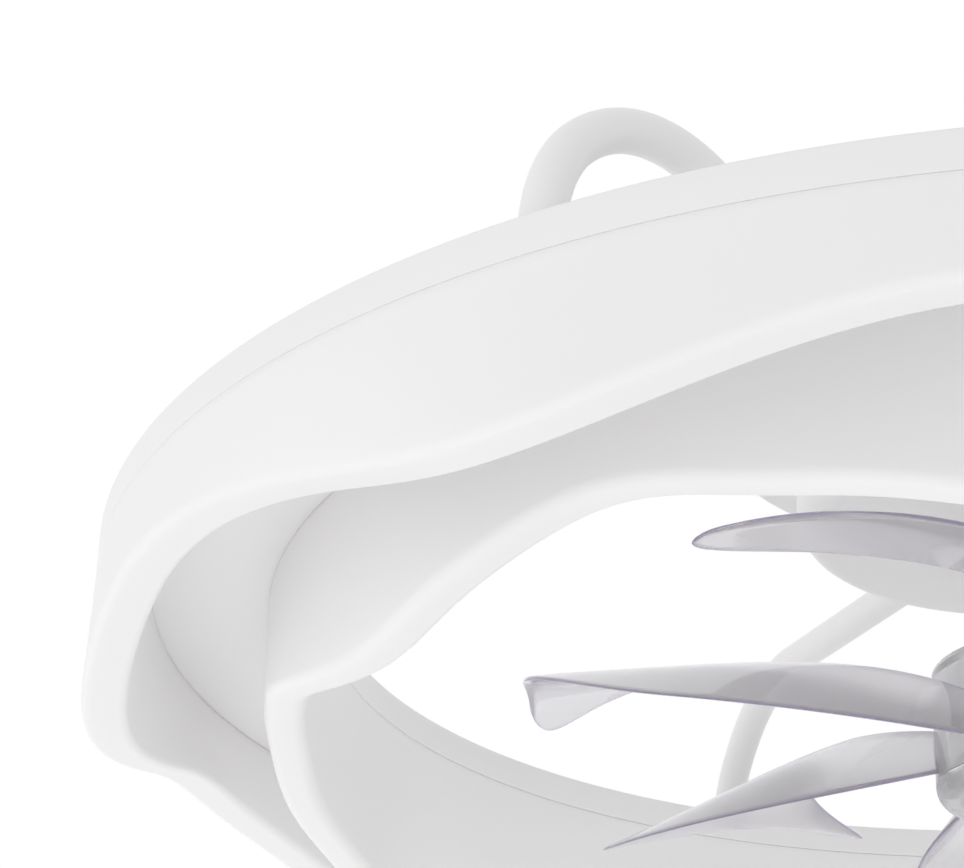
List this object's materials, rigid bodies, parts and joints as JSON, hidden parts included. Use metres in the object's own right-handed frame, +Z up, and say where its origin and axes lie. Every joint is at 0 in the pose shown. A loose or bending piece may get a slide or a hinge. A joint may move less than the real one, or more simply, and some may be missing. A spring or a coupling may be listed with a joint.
{
  "type": "ceiling fan with ring lamp",
  "caption": "Round ceiling fan: a stepped canopy carries a wavy ring lamp on bent tube arms around a hub of clear swept blades.",
  "frame": {"origin": "middle of the upper face of the ceiling bracket, which lies against the ceiling", "axes": "+Z up into the ceiling and along the fan's turning axis, -Y towards the front of the view, +X to its right"},
  "size_m": [0.5002, 0.5, 0.1354],
  "materials": {
    "white_paint": "smooth satin white paint",
    "milky_acrylic": "milky white light diffuser, soft sheen",
    "clear_plastic": "clear, faintly grey-lilac, polished",
    "zinc_steel": "zinc plated steel",
    "motor_aluminium": "plain cast",
    "motor_iron": "dark lacquer",
    "white_plastic": "moulded, matt",
    "black_plastic": "moulded, matt",
    "light_board": "white solder mask"
  },
  "bodies": {
    "frame": {"canopy_tier": "white_paint", "canopy_cup": "white_paint", "tube_arm_1": "white_paint", "tube_arm_2": "white_paint", "tube_arm_3": "white_paint", "motor_stem": "white_paint", "ring_chassis": "white_paint", "ring_base_plate": "white_paint", "diffuser_outer": "milky_acrylic", "diffuser_inner": "milky_acrylic", "ceiling_bracket": "zinc_steel", "canopy_screw_left": "zinc_steel", "canopy_screw_right": "zinc_steel", "cup_screw_1": "zinc_steel", "cup_screw_2": "zinc_steel", "cup_screw_3": "zinc_steel", "motor_screw_1": "zinc_steel", "motor_screw_2": "zinc_steel", "motor_screw_3": "zinc_steel", "ring_screw_1": "zinc_steel", "ring_screw_2": "zinc_steel", "ring_screw_3": "zinc_steel", "ring_spacer_1": "zinc_steel", "ring_spacer_2": "zinc_steel", "ring_spacer_3": "zinc_steel", "arm_cup_nut_1": "zinc_steel", "arm_cup_nut_2": "zinc_steel", "arm_cup_nut_3": "zinc_steel", "arm_ring_nut_1": "zinc_steel", "arm_ring_nut_2": "zinc_steel", "arm_ring_nut_3": "zinc_steel", "bearing_upper": "zinc_steel", "bearing_lower": "zinc_steel", "motor_base": "motor_aluminium", "motor_stator": "motor_iron", "led_driver": "white_plastic", "terminal_block": "white_plastic", "remote_receiver": "black_plastic", "led_board_outer": "light_board", "led_board_inner": "light_board"},
    "rotor": {"motor_bell": "motor_aluminium", "magnet_ring": "motor_iron", "drive_shaft": "zinc_steel", "hub": "clear_plastic", "hub_cap": "clear_plastic", "hub_nut": "zinc_steel", "blade_1": "clear_plastic", "blade_2": "clear_plastic", "blade_3": "clear_plastic", "blade_4": "clear_plastic", "blade_5": "clear_plastic", "blade_6": "clear_plastic"}
  },
  "joints": [
    {"name": "fan_spin", "type": "hinge", "parent": "frame", "child": "rotor", "pos_m": [0, 0, -0.11], "axis": [0, 0, 1], "continuous": true}
  ]
}
